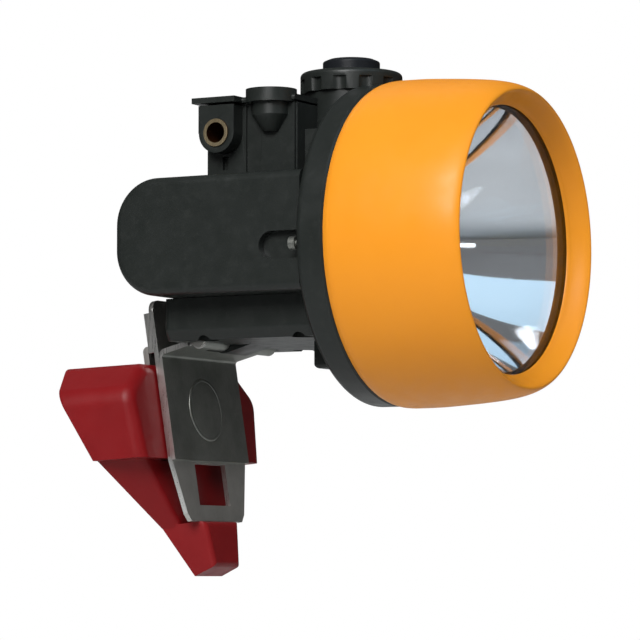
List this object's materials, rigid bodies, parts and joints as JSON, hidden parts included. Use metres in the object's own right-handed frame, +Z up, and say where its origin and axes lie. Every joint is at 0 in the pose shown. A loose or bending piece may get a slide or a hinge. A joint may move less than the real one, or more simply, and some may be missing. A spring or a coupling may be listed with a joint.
{
  "type": "miner's cap lamp",
  "caption": "Cordless miner's cap lamp: round lamp head with battery pod and top push switch, tilting on a steel hook clip that slides into a helmet bracket.",
  "frame": {"origin": "centre of the helmet bracket's back face, where it meets the helmet", "axes": "+Z up, the beam points along -Y with its axis level, +X is the wearer's left"},
  "size_m": [0.0636, 0.0924, 0.1009],
  "materials": {
    "red_plastic": "moulded nylon, satin",
    "black_plastic": "moulded polycarbonate blend, fine grain",
    "orange_plastic": "moulded polycarbonate, satin gloss",
    "steel": "sprung stainless sheet, brushed",
    "dark_steel": "sprung stainless sheet, darkened",
    "screw_steel": "machined",
    "brass": "turned and gilded",
    "rubber": "matte",
    "button_rubber": "moulded, satin",
    "lens_clear": "clear, hard-coated",
    "reflector_chrome": "vacuum metallised",
    "board_white": "white solder mask on an aluminium core",
    "board_green": "green solder mask",
    "chip_black": "moulded",
    "led_yellow": "phosphor under a clear dome",
    "aluminium": "machined",
    "cell_wrap": "shrink sleeve",
    "frame_plastic": "moulded, natural",
    "nickel": "nickel strip",
    "lead_insulation": "silicone insulation"
  },
  "bodies": {
    "bracket": {"helmet_bracket": "red_plastic", "bracket_inserts": "brass"},
    "clip": {"hook_plate": "steel", "hinge_leaf": "dark_steel", "pocket_tongue": "steel", "clip_rivets": "steel", "hinge_pin": "steel", "hinge_washers": "steel"},
    "head": {"base_cover": "black_plastic", "base_cover_screws": "screw_steel", "battery_housing": "black_plastic", "battery_leads": "lead_insulation", "bezel": "orange_plastic", "bezel_lock_screw": "dark_steel", "bezel_seal": "rubber", "button_seal": "rubber", "button_spring": "steel", "cell_frame_left": "frame_plastic", "cell_frame_right": "frame_plastic", "cell_front": "cell_wrap", "cell_rear": "cell_wrap", "cell_rib": "frame_plastic", "cell_straps": "nickel", "charge_leads": "lead_insulation", "charge_socket_insulator": "chip_black", "charge_socket_pin": "brass", "charge_socket_shell": "brass", "control_board": "board_green", "control_parts": "chip_black", "end_cap_left": "black_plastic", "end_cap_right": "black_plastic", "front_housing": "black_plastic", "heat_sink": "aluminium", "heat_sink_screws": "screw_steel", "led_board": "board_white", "led_leads": "lead_insulation", "lens": "lens_clear", "lens_seal": "rubber", "main_led": "led_yellow", "protection_board": "board_green", "protection_parts": "chip_black", "reflector": "reflector_chrome", "switch_collar": "black_plastic", "tact_switch": "chip_black", "top_cover": "black_plastic", "top_cover_gasket": "rubber", "top_cover_screws": "screw_steel", "top_housing": "black_plastic"},
    "button": {"push_button": "button_rubber"}
  },
  "joints": [
    {"name": "clip_release", "type": "slide", "parent": "bracket", "child": "clip", "axis": [0, 0.1564, 0.9877], "range_m": [0, 0.022]},
    {"name": "head_tilt", "type": "hinge", "parent": "clip", "child": "head", "pos_m": [0, -0.016, 0.027], "axis": [1, 0, 0], "range_deg": [-15, 40]},
    {"name": "switch_press", "type": "slide", "parent": "head", "child": "button", "axis": [0, 0, -1], "range_m": [0, 0.0016], "stiffness_N_per_m": 800, "deforming": ["button_spring"]}
  ]
}
